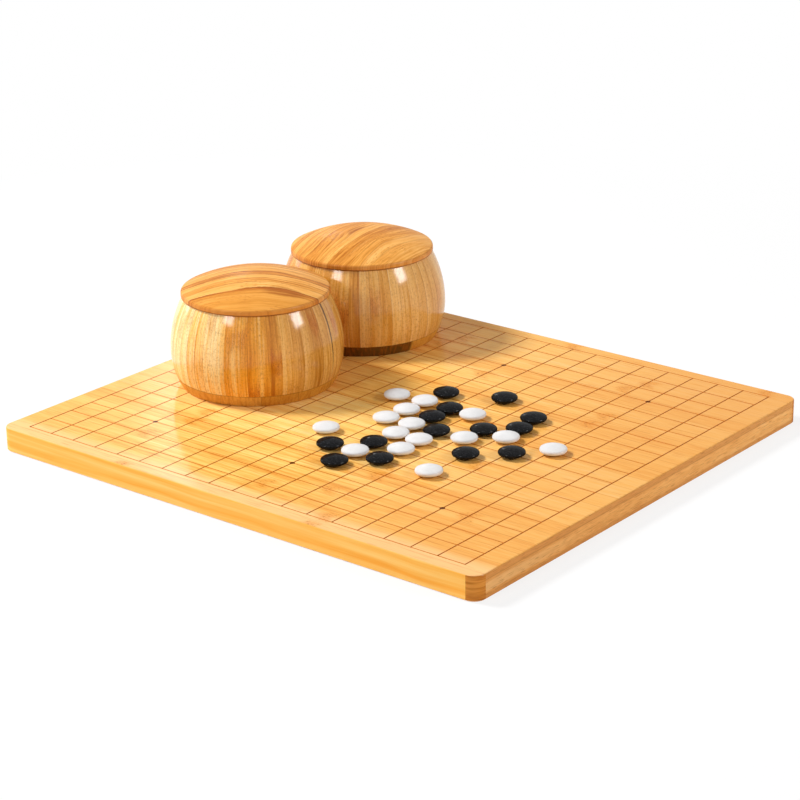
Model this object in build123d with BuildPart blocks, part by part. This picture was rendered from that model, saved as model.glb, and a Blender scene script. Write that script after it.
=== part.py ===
from build123d import *
import math
import os

# A flat go board of laminated bamboo with two lidded bowls and loose stones on it.
# Millimetres, +Z up. The origin is the middle of the board's underside.
# +X runs along the long edge of the board and +Y along the short edge.

os.makedirs("parts", exist_ok=True)

# ---- stones ----
STONE_DIAMETER = 21.5
STONE_THICKNESS = 7.8
STONE_EDGE_RADIUS = 1.8       # rounding of the rim between the two caps
STONE_CLEARANCE = 0.1         # under a stone that lies on the board

# ---- board ----
LINES = 19                    # lines each way
ROOM_X = 2.5                  # between stones on neighbouring lines, along X
ROOM_Y = 1.0                  # and along Y
MARGIN_X = 20.0               # from the outer line to the edge
MARGIN_Y = 13.0
TOP_PLY = 5.0                 # thickness of each layer of bamboo
CORE_PLY = 10.0
BOTTOM_PLY = 5.0
CORNER_RADIUS = 10.0          # seen from above
TOP_EDGE_RADIUS = 1.2         # rounding of the upper arris
BOTTOM_EDGE_CHAMFER = 1.0
LINE_WIDTH = 0.8              # engraved lines
LINE_DEPTH = 0.3
STAR_DIAMETER = 3.4           # star points, as deep as the lines
STAR_LINE = 3                 # star points lie this many lines in from the outer line

# ---- bowl ----
BELLY_RADIUS = 71.5           # widest place, outside
BELLY_HEIGHT = 30.0
SEAM_HEIGHT = 75.5            # where the lid sits on the rim
UPPER_ARC = 94.0              # outside radius of curvature above the belly
LOWER_ARC = 58.0              # and below it
BASE_THICKNESS = 10.0         # glued disc that closes the turned wall
FOOT_ROUNDING = 1.6
RIM_WALL = 6.5                # wall thickness at the rim,
BELLY_WALL = 7.0              # at the belly
FLOOR_WALL = 9.0              # and where it meets the base disc
RIM_ROUNDING = 0.7

# ---- where the bowls stand ----
BOWL_COLUMN = 3               # lines that the white bowl stands on, counted from the corner
BOWL_ROW = 15                 # at -X -Y,
BOWL_ASIDE = -4.1             # and how far its axis is from their crossing, along X
BOWL_ALONG = -5.3             # and along Y
BOWL_GAP = 0.7                # between the bellies of the two bowls
BOWL_BEARING = 2.27           # degrees from -Y at which the black bowl stands beside the white

# ---- lid ----
LID_OVERHANG = 1.5            # of the lid's edge beyond the rim
LID_EDGE = 4.5                # height of the lid's upright edge
LID_RISE = 19.0               # from the seam to the middle of the dome
LID_EDGE_ROUNDING = 2.4
LID_UNDER_ROUNDING = 0.7
PLUG_DEPTH = 4.0              # ring under the lid that centres it in the mouth
PLUG_CLEARANCE = 0.6          # on the radius
PLUG_WALL = 8.0
LID_THICKNESS = 7.0           # of the dome, at the middle

# ---- stones kept in the bowls ----
PILE_CLEARANCE = 0.25         # between the stones kept in a bowl, and round them
RESERVE_COUNT = 60            # stones kept in each bowl
PILE_SPREAD = 12.0            # how widely the kept stones are strewn
GOLDEN_TURN = 137.5           # degrees from one kept stone to the next

# Stones in play: the lines they stand on, counted from the corner at -X -Y, and how far each
# was set down from the crossing, in millimetres.
PLAY = {
    "black": [
        (9, 11, 7, 2), (11, 12, 4, -2), (10, 10, 7, -2), (10, 9, 7, -2), (13, 11, 1, -2),
        (12, 9, 8, 0), (13, 10, 5, -4), (11, 8, 4, -1), (10, 6, 4, -4), (9, 5, 3, -4),
        (13, 7, 3, -3), (14, 8, 6, -3), (10, 4, 4, -6), (11, 5, 5, -5),
    ],
    "white": [
        (8, 10, 2, -3), (9, 10, 5, -1), (9, 9, 5, -2), (9, 8, 3, -3), (11, 10, 6, -2),
        (10, 8, 4, -2), (8, 6, 3, -3), (10, 7, 6, -2), (11, 7, 5, -2), (12, 8, 7, -1),
        (13, 9, 8, -3), (10, 5, 4, -4), (11, 6, 6, -3), (15, 9, 4, -2), (13, 5, 2, -2),
    ],
}

# ---- sizes that follow ----
SPACING_X = STONE_DIAMETER + ROOM_X
SPACING_Y = STONE_DIAMETER + ROOM_Y
GRID_X = (LINES - 1) * SPACING_X
GRID_Y = (LINES - 1) * SPACING_Y
BOARD_X = GRID_X + 2 * MARGIN_X
BOARD_Y = GRID_Y + 2 * MARGIN_Y
BOARD_TOP = BOTTOM_PLY + CORE_PLY + TOP_PLY
STONE_RADIUS = STONE_DIAMETER / 2
STONE_HALF = STONE_THICKNESS / 2


def sag(arc, offset):
    """How far a circle of this radius falls away at an offset from its highest point."""
    return arc - math.sqrt(arc**2 - offset**2)


RIM_RADIUS = BELLY_RADIUS - sag(UPPER_ARC, SEAM_HEIGHT - BELLY_HEIGHT)
MOUTH_RADIUS = RIM_RADIUS - RIM_WALL
LID_RADIUS = RIM_RADIUS + LID_OVERHANG
JOINT_RADIUS = BELLY_RADIUS - sag(LOWER_ARC, BELLY_HEIGHT - BASE_THICKNESS)
FOOT_RADIUS = BELLY_RADIUS - sag(LOWER_ARC, BELLY_HEIGHT)
FLOOR_RADIUS = JOINT_RADIUS - FLOOR_WALL
INNER_BELLY = BELLY_RADIUS - BELLY_WALL


def crossing(column, row, aside, along):
    """A place on the board: a crossing of two lines and how far from it."""
    return ((column - LINES // 2) * SPACING_X + aside, (row - LINES // 2) * SPACING_Y + along)


WHITE_X, WHITE_Y = crossing(BOWL_COLUMN, BOWL_ROW, BOWL_ASIDE, BOWL_ALONG)
BOWL_STEP = 2 * BELLY_RADIUS + BOWL_GAP
BLACK_X = WHITE_X + BOWL_STEP * math.sin(math.radians(BOWL_BEARING))
BLACK_Y = WHITE_Y - BOWL_STEP * math.cos(math.radians(BOWL_BEARING))
BOWL_PLACE = {"black": (BLACK_X, BLACK_Y), "white": (WHITE_X, WHITE_Y)}


def finish(piece, name):
    """Label a finished piece and write it to a file of that name."""
    piece.label = name
    export_step(piece, f"parts/{name}.step")


# ---- board: three plies glued face to face ----
def board_blank(bottom, thickness):
    """One ply: a rounded rectangle of the board's full outline."""
    with BuildPart() as ply:
        with BuildSketch(Plane.XY.offset(bottom)):
            RectangleRounded(BOARD_X, BOARD_Y, CORNER_RADIUS)
        extrude(amount=thickness)
    return ply.part


def board_top_ply():
    """Top ply with a rounded upper arris, engraved lines and star points."""
    first_line = LINES // 2 - STAR_LINE
    with BuildPart() as ply:
        add(board_blank(BOTTOM_PLY + CORE_PLY, TOP_PLY))
        fillet(ply.faces().sort_by(Axis.Z)[-1].edges(), TOP_EDGE_RADIUS)
        with BuildSketch(Plane.XY.offset(BOARD_TOP)):
            with GridLocations(SPACING_X, 0, LINES, 1):
                Rectangle(LINE_WIDTH, GRID_Y + LINE_WIDTH)
            with GridLocations(0, SPACING_Y, 1, LINES):
                Rectangle(GRID_X + LINE_WIDTH, LINE_WIDTH)
            with GridLocations(first_line * SPACING_X, first_line * SPACING_Y, 3, 3):
                Circle(STAR_DIAMETER / 2)
        extrude(amount=-LINE_DEPTH, mode=Mode.SUBTRACT)
    return ply.part


def board_bottom_ply():
    """Bottom ply with its lower arris broken by a small chamfer."""
    with BuildPart() as ply:
        add(board_blank(0, BOTTOM_PLY))
        chamfer(ply.faces().sort_by(Axis.Z)[0].edges(), BOTTOM_EDGE_CHAMFER)
    return ply.part


# ---- bowl: a wall turned from staves, a base disc and a lid ----
def bowl_plane(colour):
    """Upright plane through the axis of a bowl; its y is the height above the board's top."""
    return Plane(origin=(*BOWL_PLACE[colour], BOARD_TOP), x_dir=(1, 0, 0), z_dir=(0, -1, 0))


def bowl_axis(colour):
    return Axis((*BOWL_PLACE[colour], BOARD_TOP), (0, 0, 1))


def belly_point(height):
    """Point on the outside of the bowl at a height above its foot."""
    arc = UPPER_ARC if height > BELLY_HEIGHT else LOWER_ARC
    return (BELLY_RADIUS - sag(arc, height - BELLY_HEIGHT), height)


def bowl_body(colour):
    """Turned wall: barrel outside, narrower mouth, open below where the base disc closes it."""
    belly = (BELLY_RADIUS, BELLY_HEIGHT)
    lower_middle = belly_point((BASE_THICKNESS + BELLY_HEIGHT) / 2)
    upper_middle = belly_point((SEAM_HEIGHT + BELLY_HEIGHT) / 2)
    with BuildPart() as body:
        with BuildSketch(bowl_plane(colour)):
            with BuildLine():
                Line((FLOOR_RADIUS, BASE_THICKNESS), (JOINT_RADIUS, BASE_THICKNESS))
                ThreePointArc((JOINT_RADIUS, BASE_THICKNESS), lower_middle, belly)
                ThreePointArc(belly, upper_middle, (RIM_RADIUS, SEAM_HEIGHT))
                Line((RIM_RADIUS, SEAM_HEIGHT), (MOUTH_RADIUS, SEAM_HEIGHT))
                ThreePointArc(
                    (MOUTH_RADIUS, SEAM_HEIGHT),
                    (INNER_BELLY, BELLY_HEIGHT),
                    (FLOOR_RADIUS, BASE_THICKNESS),
                )
            make_face()
        revolve(axis=bowl_axis(colour))
        fillet(body.edges().group_by(Axis.Z)[-1], RIM_ROUNDING)
    return body.part


def bowl_base(colour):
    """Disc glued under the wall; its edge carries the barrel's curve down to the foot."""
    middle = belly_point(BASE_THICKNESS / 2)
    with BuildPart() as base:
        with BuildSketch(bowl_plane(colour)):
            with BuildLine():
                Line((0, 0), (FOOT_RADIUS, 0))
                ThreePointArc((FOOT_RADIUS, 0), middle, (JOINT_RADIUS, BASE_THICKNESS))
                Line((JOINT_RADIUS, BASE_THICKNESS), (0, BASE_THICKNESS))
                Line((0, BASE_THICKNESS), (0, 0))
            make_face()
        revolve(axis=bowl_axis(colour))
        fillet(base.edges().group_by(Axis.Z)[0], FOOT_ROUNDING)
    return base.part


def rings(turned, radius):
    """Circular edges of this radius on a turned piece, the lowest first."""
    circles = turned.edges().filter_by(GeomType.CIRCLE)
    return circles.filter_by(lambda edge: math.isclose(edge.radius, radius)).sort_by(Axis.Z)


def bowl_lid(colour):
    """Domed lid with a plug ring that centres it, dished underneath."""
    plug_radius = MOUTH_RADIUS - PLUG_CLEARANCE
    dish_radius = plug_radius - PLUG_WALL
    crown = (0, SEAM_HEIGHT + LID_RISE)
    shoulder = (LID_RADIUS, SEAM_HEIGHT + LID_EDGE)
    dome = (LID_RADIUS**2 + (LID_RISE - LID_EDGE) ** 2) / (2 * (LID_RISE - LID_EDGE))
    half_way = (LID_RADIUS / 2, crown[1] - sag(dome, LID_RADIUS / 2))
    under_crown = (0, crown[1] - LID_THICKNESS)
    plug_end = SEAM_HEIGHT - PLUG_DEPTH
    dish_rise = under_crown[1] - plug_end
    dish = (dish_radius**2 + dish_rise**2) / (2 * dish_rise)
    dish_half_way = (dish_radius / 2, under_crown[1] - sag(dish, dish_radius / 2))
    with BuildPart() as lid:
        with BuildSketch(bowl_plane(colour)):
            with BuildLine():
                ThreePointArc(crown, half_way, shoulder)
                Line(shoulder, (LID_RADIUS, SEAM_HEIGHT))
                Line((LID_RADIUS, SEAM_HEIGHT), (plug_radius, SEAM_HEIGHT))
                Line((plug_radius, SEAM_HEIGHT), (plug_radius, plug_end))
                Line((plug_radius, plug_end), (dish_radius, plug_end))
                ThreePointArc((dish_radius, plug_end), dish_half_way, under_crown)
                Line(under_crown, crown)
            make_face()
        revolve(axis=bowl_axis(colour))
        fillet(rings(lid, LID_RADIUS)[-1], LID_EDGE_ROUNDING)
        fillet(rings(lid, LID_RADIUS)[0], LID_UNDER_ROUNDING)
    return lid.part


# ---- stones: two shallow caps that meet in a rounded rim ----
def stone_at(x, y, bottom):
    """A stone lying flat, its lowest point at this height."""
    reach = STONE_RADIUS - STONE_EDGE_RADIUS
    cap = (reach**2 + STONE_HALF**2 - STONE_EDGE_RADIUS**2) / (2 * (STONE_HALF - STONE_EDGE_RADIUS))
    lean = math.atan2(reach, cap - STONE_HALF)
    edge = (reach + STONE_EDGE_RADIUS * math.sin(lean), STONE_EDGE_RADIUS * math.cos(lean))
    over = (cap * math.sin(lean / 2), STONE_HALF - cap + cap * math.cos(lean / 2))
    middle = bottom + STONE_HALF
    upright = Plane(origin=(x, y, middle), x_dir=(1, 0, 0), z_dir=(0, -1, 0))
    with BuildPart() as stone:
        with BuildSketch(upright):
            with BuildLine():
                ThreePointArc((0, STONE_HALF), over, edge)
                ThreePointArc(edge, (STONE_RADIUS, 0), (edge[0], -edge[1]))
                ThreePointArc((edge[0], -edge[1]), (over[0], -over[1]), (0, -STONE_HALF))
                Line((0, -STONE_HALF), (0, STONE_HALF))
            make_face()
        revolve(axis=Axis((x, y, middle), (0, 0, 1)))
    return stone.part


def pile_places():
    """Where the kept stones come to rest, each dropped on those below it.

    The stones are strewn on a sunflower spiral. Flat stones of one shape touch when their
    centres lie on an ellipse about each other, which gives the height each one rests at.
    """
    reach = STONE_DIAMETER + PILE_CLEARANCE
    depth = STONE_THICKNESS + PILE_CLEARANCE
    limit = FLOOR_RADIUS - STONE_RADIUS - PILE_CLEARANCE
    per_layer = int((limit / PILE_SPREAD) ** 2)
    places = []
    for n in range(RESERVE_COUNT):
        layer, k = divmod(n, per_layer)
        angle = math.radians(GOLDEN_TURN * n + GOLDEN_TURN * layer / 2)
        out = PILE_SPREAD * math.sqrt(k + 0.5)
        x = out * math.cos(angle)
        y = out * math.sin(angle)
        rest = BASE_THICKNESS + PILE_CLEARANCE
        for px, py, pz in places:
            apart = math.hypot(x - px, y - py)
            if apart < reach:
                rest = max(rest, pz + depth * math.sqrt(1 - (apart / reach) ** 2))
        places.append((x, y, rest))
    return places


def reserve_stones(colour):
    """The stones kept in one bowl, a pile of separate stones."""
    middle_x, middle_y = BOWL_PLACE[colour]
    pile = []
    for x, y, rest in pile_places():
        pile.append(stone_at(middle_x + x, middle_y + y, BOARD_TOP + rest))
    return Compound(children=pile)


# ---- the set ----
finish(board_top_ply(), "board_top_ply")
finish(board_blank(BOTTOM_PLY, CORE_PLY), "board_core_ply")
finish(board_bottom_ply(), "board_bottom_ply")

for colour, stones in PLAY.items():
    finish(bowl_body(colour), f"bowl_{colour}_body")
    finish(bowl_base(colour), f"bowl_{colour}_base")
    finish(bowl_lid(colour), f"bowl_{colour}_lid")
    finish(reserve_stones(colour), f"bowl_{colour}_stones")
    for number, place in enumerate(stones, start=1):
        stone_x, stone_y = crossing(*place)
        finish(stone_at(stone_x, stone_y, BOARD_TOP + STONE_CLEARANCE), f"stone_{colour}_{number:02d}")
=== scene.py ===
import math
import random

import bmesh
import bpy
import numpy as np
from mathutils import Euler, Matrix, Vector

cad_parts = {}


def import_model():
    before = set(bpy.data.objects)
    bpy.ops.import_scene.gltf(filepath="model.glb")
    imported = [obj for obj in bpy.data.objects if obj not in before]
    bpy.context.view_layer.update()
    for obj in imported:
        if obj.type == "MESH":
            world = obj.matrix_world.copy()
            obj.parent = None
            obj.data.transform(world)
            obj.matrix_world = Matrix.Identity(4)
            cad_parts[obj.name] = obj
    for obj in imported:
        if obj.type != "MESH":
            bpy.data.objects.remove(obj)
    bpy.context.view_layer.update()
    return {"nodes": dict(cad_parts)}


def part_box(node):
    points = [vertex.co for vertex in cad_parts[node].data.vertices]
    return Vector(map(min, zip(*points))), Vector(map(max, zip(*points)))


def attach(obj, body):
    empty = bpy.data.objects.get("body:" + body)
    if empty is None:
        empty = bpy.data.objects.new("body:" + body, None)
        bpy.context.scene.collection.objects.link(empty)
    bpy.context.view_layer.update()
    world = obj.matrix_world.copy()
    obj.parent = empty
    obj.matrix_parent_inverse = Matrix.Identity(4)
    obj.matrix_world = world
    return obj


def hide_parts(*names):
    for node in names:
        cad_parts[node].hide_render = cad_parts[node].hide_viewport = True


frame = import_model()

NODES = frame["nodes"]
COLOURS = ("black", "white")

# ---- layout, in metres, as the solids have it ----
LINES = 19                  # lines each way
SPACING_X = 0.024
SPACING_Y = 0.0225
BOARD_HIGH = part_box("board_top_ply")[1]
BOARD_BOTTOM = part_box("board_bottom_ply")[0][2]
BOARD_TOP = BOARD_HIGH[2]
TOP_PLY = 0.005
BOTTOM_PLY = 0.005
CORNER_RADIUS = 0.010
BASE_THICKNESS = 0.010
PLUG_DEPTH = 0.004          # part of a lid that goes down into the mouth
PILE_RADIUS = 0.0583        # room for the kept stones inside a bowl
PILE_HEIGHT = 0.0540        # top of the heap above the bowl's foot
STONE_RADIUS = 0.01075
STONE_HALF = 0.0039
STONE_EDGE = 0.0018         # rounding of a stone's rim

# ---- sizes that the materials count with, in millimetres ----
MM = 1000.0                 # millimetres in a metre
TOP_HEIGHT = BOARD_TOP * MM
LINE_STEP_X = SPACING_X * MM
LINE_STEP_Y = SPACING_Y * MM
HALF_GRID_X = (LINES - 1) * SPACING_X * MM / 2
HALF_GRID_Y = (LINES - 1) * SPACING_Y * MM / 2
STAR_STEP = 6               # lines from one star point to the next
BURN_WIDTH = 0.95           # half the width that a groove is burnt over
STAR_RADIUS = 2.3
STRIP_WIDTH = 20.3          # of the cane on the board's top
STRIP_SHIFT = 4.0           # of the strips along Y
KNUCKLE_STEP = 190.0        # from one knuckle of a strip to the next
BELLY_RADIUS = 71.5         # of a bowl
BASE_RADIUS = 58.0          # of the disc under a bowl
SHADED_SIDE = 39.0           # degrees from +X, the way the browner side of a bowl's wall looks

# ---- the heap of kept stones ----
KEPT_STONES = 64            # dropped into each bowl
HEAP_CELL = 0.0008          # step of the grid of heights
HEAP_TRIES = 26             # places that each stone is tried in
HEAP_TILTS = (0, 4, 9, 15, 22)      # degrees
HOLLOW_COST = 0.55          # weight of the empty space under a stone against its height
HEAP_LIFT = 0.0002          # of the heap off the bowl's floor
STONE_RINGS = 5             # steps over a cap, and round the rim
STONE_SIDES = 28

# ---- the photograph's camera ----
CAMERA_PLACE = (1.1380, -1.4099, 0.7182)
CAMERA_AZIMUTH = 38.99      # degrees, 0 looks along +Y
CAMERA_PITCH = 20.80        # degrees below the horizon
CAMERA_ROLL = -0.82         # degrees
FOCAL_PIXELS = 2430.0       # for an image 800 pixels wide
IMAGE_WIDTH = 800.0
SENSOR_WIDTH = 36.0
CLIP_END = 50.0

# ---- floor and light ----
FLOOR_SIZE = 12.0
FLOOR_DROP = 0.0002         # of the floor below the board
FLOOR_WHITE = 0.80          # share of plain white in the floor beside the board
FADE_START = 350.0          # from here outward the floor turns plain white, in millimetres
FADE_END = 900.0
WORLD_LIGHT = 0.22          # strength of the world as a light
LAMP_AIM = (-0.06, 0.02, 0.04)
LAMPS = (
    # name, direction from the board, distance, width, height, power, seen in reflections
    ("key", (-0.633, -0.254, 0.731), 2.7, 0.58, 0.58, 74.0, False),
    ("front", (-0.070, -0.850, 0.520), 3.0, 0.7, 0.5, 18.0, True),
    ("right", (0.863, 0.247, 0.440), 3.0, 0.75, 0.75, 36.0, True),
    ("streak", (-0.696, 0.613, 0.374), 2.5, 0.08, 0.45, 1.0, True),
    ("low", (-0.980, -0.020, 0.200), 2.6, 0.9, 0.50, 5.0, True),
)


def srgb(red, green, blue):
    """A colour seen on the screen, 0 to 255, as the linear values a shader takes."""
    def linear(value):
        share = value / 255.0
        return share / 12.92 if share <= 0.04045 else ((share + 0.055) / 1.055) ** 2.4
    return (linear(red), linear(green), linear(blue), 1.0)


def axis_of(node):
    """Middle of a turned piece, seen from above."""
    low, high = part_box(node)
    return ((low[0] + high[0]) / 2, (low[1] + high[1]) / 2)


# ---- shader building ----
class Nodes:
    """Short names for the shader nodes that the materials below use. Lengths are in millimetres."""

    def __init__(self, name):
        self.material = bpy.data.materials.new(name)
        self.material.use_nodes = True
        self.tree = self.material.node_tree
        self.bsdf = self.tree.nodes["Principled BSDF"]
        coordinates = self.tree.nodes.new("ShaderNodeTexCoord")
        self.normal = coordinates.outputs["Normal"]
        scale = self.tree.nodes.new("ShaderNodeVectorMath")
        scale.operation = "SCALE"
        scale.inputs["Scale"].default_value = MM
        self.put(scale.inputs[0], coordinates.outputs["Object"])
        self.place = scale.outputs[0]

    def put(self, socket, value):
        """Link a socket's value to the input, or set a plain value on it."""
        if isinstance(value, bpy.types.NodeSocket):
            self.tree.links.new(value, socket)
        elif value is not None:
            socket.default_value = value

    def math(self, operation, first, second=None, third=None):
        node = self.tree.nodes.new("ShaderNodeMath")
        node.operation = operation
        for socket, value in zip(node.inputs, (first, second, third)):
            self.put(socket, value)
        return node.outputs[0]

    def add(self, first, second):
        return self.math("ADD", first, second)

    def less(self, first, second):
        return self.math("SUBTRACT", first, second)

    def times(self, first, second):
        return self.math("MULTIPLY", first, second)

    def over(self, first, second):
        return self.math("DIVIDE", first, second)

    def most(self, first, second):
        return self.math("MAXIMUM", first, second)

    def above(self, value, limit):
        return self.math("GREATER_THAN", value, limit)

    def below(self, value, limit):
        return self.math("LESS_THAN", value, limit)

    def size(self, value):
        """Value without its sign."""
        return self.math("ABSOLUTE", value)

    def nearest(self, value):
        """Nearest whole number."""
        return self.math("ROUND", value)

    def cosine(self, angle):
        return self.math("COSINE", angle)

    def sum(self, *shares):
        """Each share is (value, weight)."""
        total = 0.0
        for value, weight in shares:
            total = self.math("MULTIPLY_ADD", value, weight, total)
        return total

    def split(self, vector):
        node = self.tree.nodes.new("ShaderNodeSeparateXYZ")
        self.put(node.inputs[0], vector)
        return node.outputs[0], node.outputs[1], node.outputs[2]

    def join(self, x, y, z):
        node = self.tree.nodes.new("ShaderNodeCombineXYZ")
        for socket, value in zip(node.inputs, (x, y, z)):
            self.put(socket, value)
        return node.outputs[0]

    def noise(self, x, y, z, detail=2.0, roughness=0.5, distortion=0.0):
        """Smooth noise, 0 to 1; a step of 1 in a coordinate is about one blob."""
        node = self.tree.nodes.new("ShaderNodeTexNoise")
        self.put(node.inputs["Vector"], self.join(x, y, z))
        node.inputs["Scale"].default_value = 1.0
        node.inputs["Detail"].default_value = detail
        node.inputs["Roughness"].default_value = roughness
        node.inputs["Distortion"].default_value = distortion
        return node.outputs["Fac"]

    def random(self, x, y, z=0.0):
        """A value of its own, 0 to 1, for each set of numbers."""
        node = self.tree.nodes.new("ShaderNodeTexWhiteNoise")
        node.noise_dimensions = "3D"
        self.put(node.inputs["Vector"], self.join(x, y, z))
        return node.outputs["Value"]

    def step(self, value, low, high):
        """0 at low, 1 at high, smooth between."""
        node = self.tree.nodes.new("ShaderNodeMapRange")
        node.interpolation_type = "SMOOTHSTEP"
        self.put(node.inputs["Value"], value)
        self.put(node.inputs["From Min"], min(low, high))
        self.put(node.inputs["From Max"], max(low, high))
        self.put(node.inputs["To Min"], 0.0 if low < high else 1.0)
        self.put(node.inputs["To Max"], 1.0 if low < high else 0.0)
        return node.outputs["Result"]

    def span(self, value, low, high, new_low=0.0, new_high=1.0):
        """Value taken from one range to another, held at the ends."""
        node = self.tree.nodes.new("ShaderNodeMapRange")
        self.put(node.inputs["Value"], value)
        names = ("From Min", "From Max", "To Min", "To Max")
        for name, number in zip(names, (low, high, new_low, new_high)):
            self.put(node.inputs[name], number)
        return node.outputs["Result"]

    def ramp(self, value, *stops):
        """A colour by value; each stop is (position, colour)."""
        node = self.tree.nodes.new("ShaderNodeValToRGB")
        self.put(node.inputs["Fac"], value)
        elements = node.color_ramp.elements
        while len(elements) < len(stops):
            elements.new(0.5)
        for element, (position, colour) in zip(elements, stops):
            element.position = position
            element.color = colour
        return node.outputs["Color"]

    def mix(self, share, first, second):
        """Colours first and second by share; Mix keeps its colour sockets at places 6 and 7."""
        node = self.tree.nodes.new("ShaderNodeMix")
        node.data_type = "RGBA"
        self.put(node.inputs[0], share)
        self.put(node.inputs[6], first)
        self.put(node.inputs[7], second)
        return node.outputs[2]

    def paint(self, colour, share, amount, tone):
        """Colour with this amount of another tone where the share is 1."""
        return self.mix(self.times(share, amount), colour, tone)

    def bump(self, height, distance, strength):
        """Fine relief; the distance is in metres."""
        node = self.tree.nodes.new("ShaderNodeBump")
        node.inputs["Strength"].default_value = strength
        node.inputs["Distance"].default_value = distance
        self.put(node.inputs["Height"], height)
        self.tree.links.new(node.outputs["Normal"], self.bsdf.inputs["Normal"])

    def surface(self, colour, roughness, **sockets):
        """The material, with these inputs of its shader; _ stands for a space in a name."""
        self.put(self.bsdf.inputs["Base Color"], colour)
        self.put(self.bsdf.inputs["Roughness"], roughness)
        for name, value in sockets.items():
            self.put(self.bsdf.inputs[name.replace("_", " ")], value)
        return self.material


def strips(n, across, width, seed):
    """Glued strips side by side: (number of the strip, 0 to 1 across it, a random value of it)."""
    count = n.over(across, width)
    number = n.math("FLOOR", count)
    return number, n.less(count, number), n.random(number, seed, seed * 0.37)


def joint(n, within, half_width):
    """1 on the glue line between two strips, 0 away from it; the width is a share of the strip."""
    far = n.size(n.less(within, 0.5))
    return n.step(far, 0.5 - half_width, 0.5 - half_width * 0.3)


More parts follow.
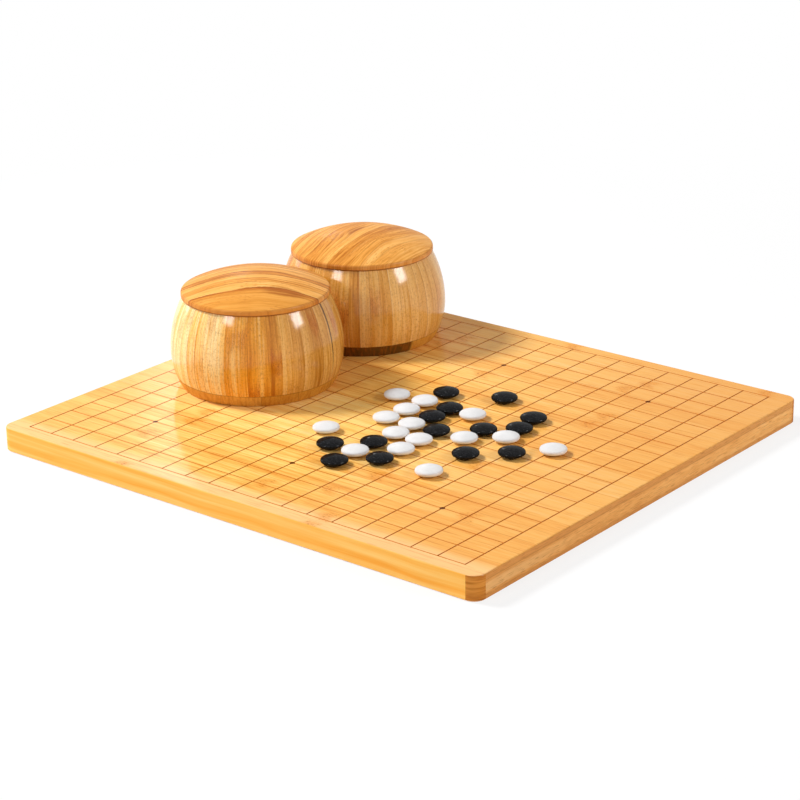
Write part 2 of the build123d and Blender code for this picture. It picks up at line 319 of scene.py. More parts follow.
# ---- bamboo of the board ----
def board_bamboo(name):
    """Long-grain strips along X on top, edge grain on the sides, dark engraved lines."""
    n = Nodes(name)
    x, y, z = n.split(n.place)
    nx, ny, nz = n.split(n.normal)
    side = n.step(n.size(nz), 0.75, 0.5)
    end_side = n.above(n.size(nx), n.size(ny))

    # the top: wide flat strips of cane, each with its own tone and fibres
    number, within, tone = strips(n, n.add(y, STRIP_SHIFT), STRIP_WIDTH, 3.0)
    shift = n.times(tone, 400.0)
    along = n.add(x, shift)
    broad = n.noise(n.times(along, 0.011), n.times(y, 0.16), tone, 1.0)
    streak = n.noise(n.times(along, 0.020), n.times(y, 0.55), tone, 2.0, 0.55)
    fibre = n.noise(n.times(along, 0.055), n.times(y, 1.9), tone, 2.0, 0.6)
    short = n.noise(n.times(along, 0.045), n.times(y, 0.75), tone, 2.0, 0.6)
    value = n.sum((tone, 0.30), (broad, 0.30), (streak, 0.48), (short, 0.40), (fibre, 0.24))
    top = n.ramp(
        n.span(value, 0.58, 1.14),
        (0.00, srgb(212, 136, 50)),
        (0.26, srgb(238, 172, 81)),
        (0.50, srgb(249, 195, 104)),
        (0.74, srgb(253, 207, 122)),
        (1.00, srgb(255, 220, 150)),
    )
    # darker and redder towards +X: partly a redder tone of the cane, partly painted shade where the
    # light falls off
    top = n.paint(top, n.step(x, -40.0, 200.0), 0.60, srgb(230, 157, 76))
    # painted shade: darker at the -X end, toning down the lamps' sheen there
    top = n.paint(top, n.step(x, -60.0, -220.0), 0.50, srgb(242, 179, 102))
    # painted shadow: darker over the far half of the top, where the bowls cast their shadow
    top = n.paint(top, n.step(y, 0.0, 200.0), 0.40, srgb(230, 160, 86))
    # painted sheen: paler along the front edge of the top
    top = n.paint(top, n.step(y, -188.0, -202.0), 0.62, srgb(251, 205, 146))
    # knuckles of the cane: a blotch with pointed darker dashes, at even steps along each strip
    beside = n.over(n.add(x, n.times(n.random(number, 9.0), KNUCKLE_STEP)), KNUCKLE_STEP)
    segment = n.nearest(beside)
    knuckle_x = n.times(n.less(beside, segment), KNUCKLE_STEP)
    shown = n.above(n.random(number, segment, 5.0), 0.40)
    middle = n.less(within, 0.5)
    chevron = n.add(knuckle_x, n.times(n.size(middle), -16.0))
    wobble = n.times(n.less(n.noise(n.times(x, 0.3), n.times(y, 0.5), 3.0), 0.5), 9.0)
    away = n.size(n.add(chevron, n.add(wobble, 4.0)))
    fade = n.step(n.size(middle), 0.5, 0.30)
    blotch = n.times(n.times(n.step(away, 11.0, 1.0), fade), shown)
    top = n.paint(top, blotch, 0.42, srgb(224, 136, 40))
    dashes = n.noise(n.times(x, 0.30), n.times(y, 1.3), 8.0, 1.0)
    dash = n.times(n.step(away, 7.5, 3.0), n.step(dashes, 0.55, 0.64))
    dash = n.times(dash, n.times(fade, shown))
    top = n.paint(top, dash, 0.62, srgb(170, 98, 34))
    # faint broken lines where a strip meets the next
    broken = n.step(n.noise(n.times(x, 0.03), number, 2.0), 0.40, 0.58)
    top = n.paint(top, n.times(joint(n, within, 0.030), broken), 0.5, srgb(190, 112, 44))
    # a few short darker fibres
    ticks = n.noise(n.times(along, 0.045), n.times(y, 1.2), 6.0, 0.0)
    top = n.paint(top, n.step(ticks, 0.66, 0.74), 0.38, srgb(206, 126, 52))

    # the long sides: soft level streaks, orange between paler bands
    run = n.sum((n.times(x, n.less(1.0, end_side)), 1.0), (n.times(y, end_side), 1.0))
    bent = n.sum((z, 1.0), (n.less(n.noise(n.times(run, 0.012), 0.0, 7.0, 1.0), 0.5), 4.5))
    side_broad = n.noise(n.times(run, 0.010), n.times(bent, 0.26), 2.0, 1.0)
    side_fine = n.noise(n.times(run, 0.018), n.times(bent, 0.80), 5.0, 2.0, 0.6)
    low_band = n.times(n.step(bent, 3.4, 6.4), n.step(bent, 12.0, 8.0))
    high_band = n.times(n.step(bent, 14.6, 16.8), n.step(bent, 20.0, 18.6))
    side_value = n.sum(
        (side_broad, 0.62), (side_fine, 0.42), (low_band, -0.26), (high_band, -0.17)
    )
    long_side = n.ramp(
        n.span(side_value, 0.14, 0.78),
        (0.00, srgb(247, 166, 60)),
        (0.32, srgb(250, 181, 80)),
        (0.62, srgb(252, 193, 99)),
        (1.00, srgb(253, 205, 120)),
    )
    # the end sides: short close fibres, darker in the outer plies, with short dark dashes
    height = n.less(z, TOP_HEIGHT)
    end_fine = n.noise(n.times(run, 0.09), n.times(z, 0.9), 12.0, 2.0, 0.6)
    end_broad = n.noise(n.times(run, 0.02), n.times(z, 0.25), 15.0, 1.0)
    end_value = n.sum((end_fine, 0.65), (end_broad, 0.45), (run, 0.0006))
    end_grain = n.ramp(
        n.span(end_value, 0.34, 0.80),
        (0.00, srgb(214, 144, 70)),
        (0.45, srgb(234, 166, 88)),
        (0.75, srgb(241, 176, 99)),
        (1.00, srgb(247, 190, 116)),
    )
    core = n.times(n.times(n.step(z, 5.0, 6.5), n.step(z, 14.5, 11.0)), n.step(run, -60.0, -190.0))
    end_grain = n.paint(end_grain, core, 0.6, srgb(236, 184, 118))
    upper = n.step(height, -TOP_PLY * MM - 1.6, -TOP_PLY * MM + 0.4)
    end_grain = n.paint(end_grain, upper, 0.62, srgb(198, 128, 60))
    lower = n.step(z, BOTTOM_PLY * MM, BOTTOM_PLY * MM - 2.0)
    end_grain = n.paint(end_grain, lower, 0.50, srgb(196, 124, 56))
    glue_low = n.size(n.add(height, TOP_PLY * MM))
    end_grain = n.paint(end_grain, n.step(glue_low, 0.40, 0.12), 0.40, srgb(150, 86, 30))
    dashed = n.noise(n.times(run, 0.12), n.times(z, 1.5), 21.0, 0.0)
    end_grain = n.paint(end_grain, n.step(dashed, 0.62, 0.70), 0.42, srgb(158, 96, 38))
    edge = n.mix(end_side, long_side, end_grain)
    # painted shade: the sides darkened along their foot, where they meet the floor, most on the end
    # sides
    foot_shade = n.step(z, 1.2, 0.5)
    edge = n.paint(edge, foot_shade, n.span(end_side, 0.0, 1.0, 0.15, 0.60), srgb(146, 82, 24))

    # the rounded corners at +X: a separate darker figure in level bands with sharp sides, darker
    # still towards the bottom; partly the corner's own grain, partly painted shade where the corner
    # turns from the light
    in_x = n.above(x, (BOARD_HIGH[0] - CORNER_RADIUS) * MM)
    in_y = n.above(n.size(y), (BOARD_HIGH[1] - CORNER_RADIUS) * MM)
    corner = n.times(n.times(in_x, in_y), side)
    level = n.noise(n.times(x, 0.05), n.times(y, 0.05), n.times(z, 0.62), 2.0, 0.6)
    corner_grain_and_shade = n.ramp(
        n.span(level, 0.32, 0.68),
        (0.00, srgb(186, 108, 32)),
        (0.50, srgb(206, 130, 46)),
        (1.00, srgb(220, 146, 60)),
    )
    corner_grain_and_shade = n.paint(corner_grain_and_shade, n.step(z, 7.5, 4.0), 0.35, srgb(168, 92, 24))
    edge = n.mix(corner, edge, corner_grain_and_shade)
    colour = n.mix(side, top, edge)

    # engraved lines and dots, burnt dark on their floor and walls
    inside_x = n.below(n.size(x), HALF_GRID_X + 2.5)
    inside_y = n.below(n.size(y), HALF_GRID_Y + 2.5)
    engraved = n.times(n.step(height, -0.02, -0.06), n.times(inside_x, inside_y))
    across = n.over(n.add(x, HALF_GRID_X), LINE_STEP_X)
    off = n.times(n.size(n.less(across, n.nearest(across))), LINE_STEP_X)
    down = n.over(n.add(y, HALF_GRID_Y), LINE_STEP_Y)
    off_row = n.times(n.size(n.less(down, n.nearest(down))), LINE_STEP_Y)
    cross_line = n.below(off, 0.46)
    # the burn reaches a little way over the top beside each groove
    on_x = n.times(n.below(n.size(x), HALF_GRID_X + 0.5), inside_y)
    on_y = n.times(n.below(n.size(y), HALF_GRID_Y + 0.5), inside_x)
    beside_row = n.times(n.step(off_row, BURN_WIDTH, 0.45), on_x)
    beside_column = n.times(n.step(off, BURN_WIDTH, 0.45), on_y)
    flat = n.less(1.0, side)
    colour = n.paint(colour, n.times(beside_row, 0.42), flat, srgb(184, 102, 26))
    colour = n.paint(colour, n.times(beside_column, 0.62), flat, srgb(150, 74, 6))
    burnt = n.mix(cross_line, srgb(212, 126, 36), srgb(186, 98, 10))
    colour = n.mix(engraved, colour, burnt)
    # star points on every sixth line from the middle, darker and a little wider than their pockets
    star_x, star_y = STAR_STEP * LINE_STEP_X, STAR_STEP * LINE_STEP_Y
    aside = n.less(x, n.times(n.nearest(n.over(x, star_x)), star_x))
    ahead = n.less(y, n.times(n.nearest(n.over(y, star_y)), star_y))
    from_star = n.math("SQRT", n.add(n.times(aside, aside), n.times(ahead, ahead)))
    star = n.times(n.step(from_star, STAR_RADIUS, 1.9), n.step(height, -1.0, -0.5))
    colour = n.paint(colour, star, 0.92, srgb(92, 42, 8))

    n.bump(n.sum((fibre, 0.6), (streak, 0.4)), 0.00015, 0.25)
    return n.surface(colour, 0.5, Specular_IOR_Level=0.0, Coat_Weight=0.24, Coat_Roughness=0.18)


# ---- bamboo of the bowls ----
def bowl_wall(name, node, staves, seed, seam, opened, paler, strength, tanned):
    """Upright staves round the bowl, each with its own tone and knuckles, and one opened seam.

    Seam is where the opened seam is and opened how much of it shows. Paler is the side whose staves
    carry painted light, made paler as the lamps fall on them, and strength how much paler they are.
    Tanned is how brown the whole bowl is. Seam and paler are in degrees from +X.
    """
    n = Nodes(name)
    middle_x, middle_y = axis_of(node)
    x, y, z = n.split(n.place)
    z = n.less(z, TOP_HEIGHT)
    turn = n.math("ARCTAN2", n.less(y, middle_y * MM), n.less(x, middle_x * MM))
    degrees = n.times(turn, 180 / math.pi)
    round_mm = n.times(turn, BELLY_RADIUS)
    lean = n.noise(n.times(round_mm, 0.02), n.times(z, 0.008), seed, 0.0)
    lean = n.times(n.less(lean, 0.5), 2.2)
    number, within, tone = strips(n, n.add(degrees, lean), 360.0 / staves, seed)
    other = n.random(number, 4.0, seed)
    shift = n.times(tone, 300.0)
    along = n.add(z, shift)
    fibre = n.noise(n.times(round_mm, 2.2), n.times(along, 0.060), seed, 2.0, 0.6)
    streak = n.noise(n.times(round_mm, 0.85), n.times(along, 0.016), seed, 2.0, 0.55)
    broad = n.noise(n.times(round_mm, 0.28), n.times(along, 0.010), seed + 5, 1.0)
    # the cane is denser, and so darker, towards one side of each stave
    skin = n.times(n.less(within, 0.5), n.span(other, 0.0, 1.0, -0.30, 0.30))
    # painted light: the staves on the side that faces the lamps are made paler
    lit_side = n.step(n.cosine(n.less(turn, math.radians(paler))), -0.25, 0.92)
    coarse = n.noise(n.times(round_mm, 0.48), n.times(along, 0.022), seed + 9, 1.0)
    value = n.sum(
        (tone, 0.30), (streak, 0.62), (coarse, 0.50), (fibre, 0.22), (broad, 0.26),
        (skin, 1.1), (lit_side, strength),
    )
    share = n.span(value, 0.62, 1.38)
    warm = n.ramp(
        share,
        (0.00, srgb(184, 102, 8)),
        (0.22, srgb(214, 132, 14)),
        (0.45, srgb(238, 162, 44)),
        (0.72, srgb(251, 197, 106)),
        (1.00, srgb(255, 226, 162)),
    )
    tan = n.ramp(
        share,
        (0.00, srgb(166, 100, 22)),
        (0.22, srgb(196, 133, 48)),
        (0.45, srgb(218, 159, 74)),
        (0.72, srgb(232, 180, 100)),
        (1.00, srgb(246, 202, 132)),
    )
    # painted shade: one side of each bowl's wall, the same on both bowls, made browner and duller
    towards = n.cosine(n.less(turn, math.radians(SHADED_SIDE)))
    colour = n.mix(n.most(n.step(towards, -0.10, 0.65), tanned), warm, tan)
    # knuckles: a belt of pointed arches that darkens the stave
    knuckle_z = n.less(z, n.span(n.random(number, 7.0, seed), 0.0, 1.0, 6.0, 70.0))
    arch = n.add(knuckle_z, n.times(n.size(n.less(within, 0.5)), -17.0))
    wobble = n.less(n.noise(n.times(round_mm, 0.5), n.times(z, 0.3), 4.0), 0.5)
    arch = n.add(arch, n.times(wobble, 12.0))
    near = n.times(n.step(n.size(n.add(arch, 3.0)), 15.0, 1.0), n.step(other, 0.35, 0.50))
    near = n.times(near, n.span(lit_side, 0.0, 1.0, 1.0, 0.35))
    colour = n.paint(colour, near, 0.48, srgb(204, 112, 14))
    ripple = n.noise(n.times(round_mm, 1.1), n.times(arch, 0.60), 8.0, 1.0, 0.6, 0.5)
    colour = n.paint(colour, n.times(near, n.step(ripple, 0.50, 0.58)), 0.62, srgb(156, 76, 8))
    # faint ripples that cross the fibres everywhere
    ripples = n.noise(n.times(round_mm, 0.45), n.times(z, 0.75), seed, 1.0, 0.6, 0.8)
    colour = n.paint(colour, n.step(ripples, 0.50, 0.66), 0.26, srgb(176, 98, 18))
    # short dark dashes along the staves
    dashes = n.noise(n.times(round_mm, 1.0), n.times(along, 0.22), seed + 2, 1.0, 0.6)
    colour = n.paint(colour, n.step(dashes, 0.54, 0.66), 0.26, srgb(150, 84, 16))
    # fine dark pores in short vertical ticks
    pores = n.noise(n.times(round_mm, 2.0), n.times(z, 0.35), 14.0, 0.0)
    belt = n.step(n.noise(n.times(round_mm, 0.10), n.times(z, 0.05), 17.0, 1.0), 0.45, 0.65)
    colour = n.paint(colour, n.times(n.step(pores, 0.58, 0.70), belt), 0.42, srgb(160, 88, 26))
    glue = n.times(joint(n, within, 0.06), n.span(n.random(number, 1.0, seed), 0.3, 1.0, 0.0, 0.60))
    colour = n.mix(glue, colour, srgb(156, 82, 20))
    # one seam that has opened a little
    off_seam = n.size(n.less(n.add(degrees, n.times(lean, 0.6)), seam))
    opening = n.less(off_seam, n.span(z, 30.0, 76.0, 0.0, 0.40))
    crack = n.times(n.step(opening, 0.70, 0.35), n.step(z, 8.0, 40.0))
    colour = n.paint(colour, crack, opened, srgb(72, 36, 10))
    relief = n.less(n.sum((fibre, 0.5), (streak, 0.5)), n.times(crack, 2.0 * opened))
    n.bump(relief, 0.00020, 0.35)
    return n.surface(colour, 0.4, Specular_IOR_Level=0.0, Coat_Weight=0.75, Coat_Roughness=0.13)


def bowl_base(name, node, angle, width, offset, seed, shaded):
    """Glued-up disc: upright joints between darker blocks, with a painted shadow over one side.

    The angle of the strips is in radians. Shaded is the side under the painted shadow, in degrees
    from +X, and how dark that shadow is.
    """
    n = Nodes(name)
    middle_x, middle_y = axis_of(node)
    x, y, z = n.split(n.place)
    dx = n.less(x, middle_x * MM)
    dy = n.less(y, middle_y * MM)
    across = n.sum((dx, math.cos(angle)), (dy, math.sin(angle)))
    along = n.sum((dx, -math.sin(angle)), (dy, math.cos(angle)))
    _, within, tone = strips(n, n.add(across, offset), width, seed)
    fibre = n.noise(n.times(across, 0.8), n.times(along, 0.03), n.times(z, 0.5), 2.0, 0.6)
    colour = n.ramp(
        n.span(n.sum((tone, 0.50), (fibre, 0.60)), 0.25, 0.90),
        (0.00, srgb(192, 126, 36)),
        (0.50, srgb(214, 154, 60)),
        (1.00, srgb(230, 176, 88)),
    )
    colour = n.paint(colour, joint(n, within, 0.02), 0.3, srgb(120, 62, 14))
    # painted shadow: one side of the disc, where the other bowl's shadow falls, made dark brown
    # with a sharp edge
    side_angle, amount = shaded
    towards = n.cosine(n.less(n.math("ARCTAN2", dy, dx), math.radians(side_angle)))
    colour = n.paint(colour, n.step(towards, 0.40, 0.46), amount, srgb(66, 33, 2))
    turn_mm = n.times(n.math("ARCTAN2", dy, dx), BASE_RADIUS)
    grain = n.noise(n.times(turn_mm, 0.55), n.times(z, 0.10), seed, 2.0, 0.6)
    colour = n.paint(colour, n.step(grain, 0.42, 0.66), 0.45, srgb(176, 100, 28))
    # the glue line under the wall
    disc_top = (BOARD_TOP + BASE_THICKNESS) * MM
    glue = n.step(z, disc_top - 0.9, disc_top - 0.2)
    colour = n.paint(colour, glue, 0.5, srgb(110, 58, 14))
    n.bump(fibre, 0.0002, 0.15)
    return n.surface(colour, 0.4, Specular_IOR_Level=0.0, Coat_Weight=0.30, Coat_Roughness=0.18)


def bowl_lid(name, node, angle, width, seed, darkest, plain, bold):
    """Strips across the dome, laid along this angle, edged with the dark skin of the cane.

    The angle is in radians. Darkest is a darker patch: its place along and across the strips and
    its half length and half width. Plain is where, across the strips, they turn calm and pale,
    and bold how strong the dark edges are elsewhere.
    """
    n = Nodes(name)
    middle_x, middle_y = axis_of(node)
    x, y, z = n.split(n.place)
    dx = n.less(x, middle_x * MM)
    dy = n.less(y, middle_y * MM)
    along = n.sum((dx, math.cos(angle)), (dy, math.sin(angle)))
    across = n.sum((dx, -math.sin(angle)), (dy, math.cos(angle)))
    wave = n.noise(n.times(along, 0.016), n.times(across, 0.035), seed, 1.0, 0.5)
    ragged = n.noise(n.times(along, 0.25), n.times(across, 0.4), seed + 3, 1.0, 0.5)
    bent = n.sum((across, 1.0), (n.less(wave, 0.5), 15.0), (n.less(ragged, 0.5), 0.9))
    number, within, tone = strips(n, bent, width, seed)
    depth = n.random(number, 4.0, seed)
    streak = n.noise(n.times(along, 0.020), n.times(bent, 0.55), seed, 2.0, 0.55)
    fibre = n.noise(n.times(along, 0.05), n.times(bent, 1.8), 3.0, 2.0, 0.6)
    short = n.noise(n.times(along, 0.07), n.times(bent, 0.9), seed + 7, 2.0, 0.6)
    value = n.sum((tone, 0.26), (streak, 0.62), (fibre, 0.24), (short, 0.34))
    front = n.step(across, plain[1], plain[0])
    value = n.sum((value, n.less(1.0, n.times(front, 0.6))), (front, 0.42))
    colour = n.ramp(
        n.span(value, 0.52, 1.00),
        (0.00, srgb(182, 106, 30)),
        (0.32, srgb(221, 148, 60)),
        (0.62, srgb(240, 174, 88)),
        (1.00, srgb(250, 194, 116)),
    )
    calm = n.times(n.step(across, plain[0], plain[1]), bold)
    skin = n.times(n.step(within, 0.35, 0.95), n.span(depth, 0.10, 0.80, 0.0, 0.70))
    colour = n.paint(colour, skin, calm, srgb(182, 96, 24))
    line = n.times(joint(n, within, 0.14), n.span(depth, 0.10, 0.70, 0.10, 0.95))
    faint = n.span(n.noise(n.times(along, 0.03), number, seed, 0.0), 0.3, 0.6, 0.35, 1.0)
    colour = n.paint(colour, n.times(line, calm), faint, srgb(120, 54, 8))
    # one darker patch of cane, long with the grain
    spot_along, spot_across, long, wide = darkest
    spot_x = n.math("POWER", n.over(n.less(along, spot_along), long), 2.0)
    spot_y = n.math("POWER", n.over(n.less(bent, spot_across), wide), 2.0)
    round_spot = n.step(n.add(spot_x, spot_y), 1.3, 0.2)
    spot = n.times(round_spot, n.span(streak, 0.3, 0.7, 0.9, 0.35))
    colour = n.mix(spot, colour, srgb(158, 84, 24))
    specks = n.noise(n.times(along, 0.28), n.times(bent, 1.1), 9.0, 0.0)
    patch = n.step(n.noise(n.times(along, 0.04), n.times(across, 0.06), 19.0, 0.0), 0.45, 0.60)
    colour = n.paint(colour, n.times(n.step(specks, 0.60, 0.70), patch), 0.40, srgb(176, 98, 32))
    # a browner rim, with painted shade along its lower edge and on the underside, where the gap
    # under the lid lies in shadow
    _, _, nz = n.split(n.normal)
    rim_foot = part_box(node)[0][2] * MM + PLUG_DEPTH * MM
    # painted shade: a dark line along the rim's lower edge
    colour = n.paint(colour, n.step(z, rim_foot + 1.3, rim_foot + 0.7), 0.65, srgb(112, 56, 14))
    colour = n.paint(colour, n.step(nz, 0.84, 0.70), 0.30, srgb(186, 106, 40))
    # painted shade on the underside of the lid
    colour = n.paint(colour, n.step(nz, -0.35, -0.75), 0.7, srgb(120, 64, 20))
    n.bump(n.sum((fibre, 0.5), (streak, 0.5)), 0.00015, 0.25)
    return n.surface(colour, 0.5, Specular_IOR_Level=0.0, Coat_Weight=0.34, Coat_Roughness=0.30)


# ---- stones ----
def stone_finish(name, dark, light, roughness, mottle, cover, flecks_and_sheen):
    """Polished fused stone: mottle is its relief, cover its coat, flecks_and_sheen its paler grey
    veins, partly the stone's own figure and partly painted sheen.
    """
    n = Nodes(name)
    x, y, z = n.split(n.place)
    cloud = n.noise(n.times(x, 0.12), n.times(y, 0.12), n.times(z, 0.12), 3.0, 0.6)
    fine = n.noise(n.times(x, 0.9), n.times(y, 0.9), n.times(z, 0.9), 2.0, 0.6)
    value = n.sum((fine, 0.3), (cloud, 0.7))
    colour = n.ramp(value, (0.35, dark), (0.65, light))
    # paler grey veins: partly the stone's own figure, partly painted sheen
    veins_and_sheen = n.noise(n.times(x, 0.35), n.times(y, 0.9), n.times(z, 0.9), 3.0, 0.65, 1.2)
    colour = n.paint(colour, n.step(veins_and_sheen, 0.50, 0.68), flecks_and_sheen, srgb(98, 100, 106))
    n.bump(cloud, 0.0002, mottle)
    return n.surface(
        colour, 0.5, Specular_IOR_Level=0.0, Coat_Weight=cover, Coat_Roughness=roughness
    )


def dress(node, material):
    """Give a piece of the solids this material."""
    mesh = NODES[node].data
    mesh.materials.clear()
    mesh.materials.append(material)


BOARD = board_bamboo("bamboo_board")
for ply in ("board_top_ply", "board_core_ply", "board_bottom_ply"):
    dress(ply, BOARD)

dress("bowl_black_body", bowl_wall(
    "bamboo_wall_black", "bowl_black_body", staves=46, seed=2.0,
    seam=11.0, opened=0.88, paler=-141.0, strength=0.43, tanned=0.0,
))
dress("bowl_white_body", bowl_wall(
    "bamboo_wall_white", "bowl_white_body", staves=48, seed=7.0,
    seam=150.0, opened=0.15, paler=30.0, strength=0.22, tanned=0.75,
))
dress("bowl_black_base", bowl_base(
    "bamboo_base_black", "bowl_black_base", angle=0.9, width=31.0, offset=9.0, seed=3.0,
    shaded=(39.0, 0.0),
))
dress("bowl_white_base", bowl_base(
    "bamboo_base_white", "bowl_white_base", angle=0.3, width=24.0, offset=4.0, seed=8.0,
    shaded=(-77.0, 0.86),
))
dress("bowl_black_lid", bowl_lid(
    "bamboo_lid_black", "bowl_black_lid", angle=math.radians(38.7), width=7.6, seed=2.0,
    darkest=(26, -34, 19, 6), plain=(-44, -30), bold=1.0,
))
dress("bowl_white_lid", bowl_lid(
    "bamboo_lid_white", "bowl_white_lid", angle=math.radians(94.0), width=8.4, seed=5.0,
    darkest=(-6, 2, 14, 3), plain=(-80, -70), bold=0.30,
))

STONES = {
    "black": stone_finish(
        "stone_black", srgb(4, 4, 6), srgb(13, 14, 17),
        roughness=0.14, mottle=0.60, cover=0.24, flecks_and_sheen=0.16,
    ),
    "white": stone_finish(
        "stone_white", srgb(218, 217, 217), srgb(229, 228, 228),
        roughness=0.26, mottle=0.12, cover=0.30, flecks_and_sheen=0.0,
    ),
}
for name in NODES:
    for colour in COLOURS:
        if name.startswith(f"stone_{colour}_") or name == f"bowl_{colour}_stones":
            dress(name, STONES[colour])


# ---- the stones kept in the bowls: a settled heap ----
def stone_profile():
    """Radius and height down the side of a stone: two shallow caps and a rounded rim."""
    reach = STONE_RADIUS - STONE_EDGE
    cap = (reach**2 + STONE_HALF**2 - STONE_EDGE**2) / (2 * (STONE_HALF - STONE_EDGE))
    lean = math.atan2(reach, cap - STONE_HALF)
    profile = []
    for k in range(1, STONE_RINGS):
        angle = lean * k / STONE_RINGS
        profile.append((cap * math.sin(angle), STONE_HALF - cap + cap * math.cos(angle)))
    for k in range(STONE_RINGS + 1):
        angle = lean + (math.pi / 2 - lean) * k / STONE_RINGS
        profile.append((reach + STONE_EDGE * math.sin(angle), STONE_EDGE * math.cos(angle)))
    lower = [(radius, -height) for radius, height in reversed(profile[:-1])]
    return profile + lower


def add_stone(mesh, turned):
    """One stone, turned and placed by this matrix, in a bmesh."""
    loops = []
    for radius, height in stone_profile():
        loop = []
        for k in range(STONE_SIDES):
            angle = 2 * math.pi * k / STONE_SIDES
            point = Vector((radius * math.cos(angle), radius * math.sin(angle), height))
            loop.append(mesh.verts.new(turned @ point))
        loops.append(loop)
    top = mesh.verts.new(turned @ Vector((0, 0, STONE_HALF)))
    bottom = mesh.verts.new(turned @ Vector((0, 0, -STONE_HALF)))
    for k in range(STONE_SIDES):
        after = (k + 1) % STONE_SIDES
        mesh.faces.new((top, loops[0][k], loops[0][after]))
        for upper, lower in zip(loops, loops[1:]):
            mesh.faces.new((upper[k], lower[k], lower[after], upper[after]))
        mesh.faces.new((bottom, loops[-1][after], loops[-1][k]))


def shell_of(turn, dx, dy):
    """Heights of the top and the underside of a tilted stone over points about its middle."""
    sizes = Matrix.Diagonal((STONE_RADIUS**-2, STONE_RADIUS**-2, STONE_HALF**-2))
    form = turn @ sizes @ turn.transposed()
    a = form[2][2]
    b = 2 * (form[0][2] * dx + form[1][2] * dy)
    c = form[0][0] * dx**2 + form[1][1] * dy**2 + 2 * form[0][1] * dx * dy - 1
    inside = b**2 - 4 * a * c
    root = np.sqrt(np.maximum(inside, 0))
    top = np.where(inside > 0, (-b + root) / (2 * a), np.nan)
    under = np.where(inside > 0, (-b - root) / (2 * a), np.nan)
    return top, under


def settle(seed):
    """Stones dropped one by one, each in the lowest of the places and tilts tried for it."""
    chance = random.Random(seed)
    half = int(PILE_RADIUS / HEAP_CELL) + 2
    ticks = np.arange(-half, half + 1) * HEAP_CELL
    grid_x, grid_y = np.meshgrid(ticks, ticks, indexing="ij")
    ground = np.full(grid_x.shape, BASE_THICKNESS)
    window = int(STONE_RADIUS / HEAP_CELL) + 1
    placed = []
    for _ in range(KEPT_STONES):
        best = None
        for _ in range(HEAP_TRIES):
            out = (PILE_RADIUS - STONE_RADIUS) * math.sqrt(chance.random())
            angle = chance.uniform(0, 2 * math.pi)
            i = half + round(out * math.cos(angle) / HEAP_CELL)
            j = half + round(out * math.sin(angle) / HEAP_CELL)
            tilt = math.radians(chance.choice(HEAP_TILTS))
            turn = Euler((tilt, 0, chance.uniform(0, 2 * math.pi))).to_matrix()
            turn = Matrix.Rotation(chance.uniform(0, 2 * math.pi), 3, "Z") @ turn
            area = (slice(i - window, i + window + 1), slice(j - window, j + window + 1))
            if i < window or j < window or i + window >= len(ticks) or j + window >= len(ticks):
                continue
            top, under = shell_of(turn, grid_x[area] - ticks[i], grid_y[area] - ticks[j])
            gap = ground[area] - under
            rest = np.nanmax(gap)
            hollow = np.nanmean(rest - gap)
            score = rest + HOLLOW_COST * hollow
            if best is None or score < best[0]:
                best = (score, rest, ticks[i], ticks[j], turn, area, top)
        _, rest, x, y, turn, area, top = best
        ground[area] = np.fmax(ground[area], top + rest)
        placed.append((x, y, rest, turn))
    return placed


def heap(colour, seed):
    """The kept stones of one bowl as one mesh, in place of the solids' plainer pile."""
    middle_x, middle_y = axis_of(f"bowl_{colour}_body")
    mesh = bmesh.new()
    for x, y, height, turn in settle(seed):
        if height + STONE_HALF > PILE_HEIGHT:
            continue
        middle = (middle_x + x, middle_y + y, BOARD_TOP + height + HEAP_LIFT)
        place = Matrix.Translation(middle)
        add_stone(mesh, place @ turn.to_4x4())
    data = bpy.data.meshes.new(f"kept_stones_{colour}")
    mesh.to_mesh(data)
    mesh.free()
    for face in data.polygons:
        face.use_smooth = True
    data.materials.append(STONES[colour])
    pile = bpy.data.objects.new(f"kept_stones_{colour}", data)
    bpy.context.scene.collection.objects.link(pile)
    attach(pile, f"bowl_{colour}")
    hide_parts(f"bowl_{colour}_stones")


heap("black", 11)
heap("white", 23)


# ---- floor, light and camera ----
def seen_directly(tree):
    """1 for a ray from the camera, or one that a mirror or glass sends on."""
    path = tree.nodes.new("ShaderNodeLightPath")
    glossy = tree.nodes.new("ShaderNodeMath")
    glossy.operation = "MAXIMUM"
    seen = tree.nodes.new("ShaderNodeMath")
    seen.operation = "MAXIMUM"
    tree.links.new(path.outputs["Is Glossy Ray"], glossy.inputs[0])
    tree.links.new(path.outputs["Is Transmission Ray"], glossy.inputs[1])
    tree.links.new(path.outputs["Is Camera Ray"], seen.inputs[0])
    tree.links.new(glossy.outputs[0], seen.inputs[1])
    return seen.outputs[0]


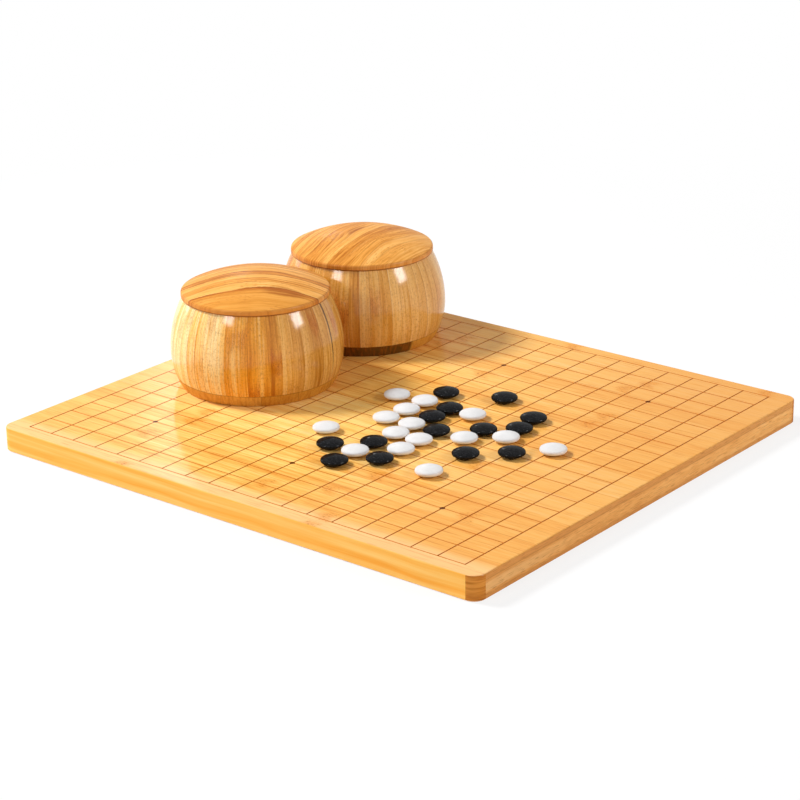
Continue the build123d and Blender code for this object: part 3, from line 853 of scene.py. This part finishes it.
def floor():
    """Pale floor, mostly plain white to the eye, that keeps a soft shadow of the object."""
    bpy.ops.mesh.primitive_plane_add(size=FLOOR_SIZE, location=(0, 0, BOARD_BOTTOM - FLOOR_DROP))
    plane = bpy.context.object
    plane.name = "floor"
    n = Nodes("floor_pale")
    n.surface(srgb(246, 246, 246), 0.9, Specular_IOR_Level=0.0)
    glow = n.tree.nodes.new("ShaderNodeEmission")
    x, y, _ = n.split(n.place)
    away = n.math("SQRT", n.add(n.math("POWER", x, 2.0), n.math("POWER", y, 2.0)))
    white = n.span(away, FADE_START, FADE_END, FLOOR_WHITE)
    share = n.times(seen_directly(n.tree), white)
    blend = n.tree.nodes.new("ShaderNodeMixShader")
    n.put(blend.inputs[0], share)
    n.put(blend.inputs[1], n.bsdf.outputs[0])
    n.put(blend.inputs[2], glow.outputs[0])
    n.put(n.tree.nodes["Material Output"].inputs["Surface"], blend.outputs[0])
    plane.data.materials.append(n.material)


def world():
    """White where the camera, a reflection or glass looks past the object, softer as a light."""
    studio = bpy.data.worlds.new("studio")
    bpy.context.scene.world = studio
    studio.use_nodes = True
    tree = studio.node_tree
    background = tree.nodes["Background"]
    strength = tree.nodes.new("ShaderNodeMapRange")
    tree.links.new(seen_directly(tree), strength.inputs["Value"])
    strength.inputs["To Min"].default_value = WORLD_LIGHT
    strength.inputs["To Max"].default_value = 1.0
    tree.links.new(strength.outputs["Result"], background.inputs["Strength"])
    background.inputs["Color"].default_value = (1, 1, 1, 1)


def softbox(name, direction, distance, width, height, power, mirrored):
    """A rectangular lamp that faces the middle of the board from this direction."""
    light = bpy.data.lights.new(name, "AREA")
    light.shape = "RECTANGLE"
    light.size = width
    light.size_y = height
    light.energy = power
    lamp = bpy.data.objects.new(name, light)
    bpy.context.scene.collection.objects.link(lamp)
    towards = Vector(direction).normalized()
    lamp.location = Vector(LAMP_AIM) + towards * distance
    lamp.rotation_euler = (-towards).to_track_quat("-Z", "Y").to_euler()
    lamp.visible_glossy = mirrored


def camera():
    """The photograph's camera."""
    data = bpy.data.cameras.new("camera")
    data.sensor_width = SENSOR_WIDTH
    data.lens = FOCAL_PIXELS * SENSOR_WIDTH / IMAGE_WIDTH
    data.clip_end = CLIP_END
    eye = bpy.data.objects.new("camera", data)
    bpy.context.scene.collection.objects.link(eye)
    turned = Matrix.Rotation(math.radians(CAMERA_AZIMUTH), 4, "Z")
    tilted = Matrix.Rotation(math.radians(90 - CAMERA_PITCH), 4, "X")
    rolled = Matrix.Rotation(math.radians(CAMERA_ROLL), 4, "Z")
    eye.matrix_world = Matrix.Translation(CAMERA_PLACE) @ turned @ tilted @ rolled
    bpy.context.scene.camera = eye


floor()
world()
for lamp_row in LAMPS:
    softbox(*lamp_row)
camera()

bpy.context.scene.view_settings.view_transform = "Standard"
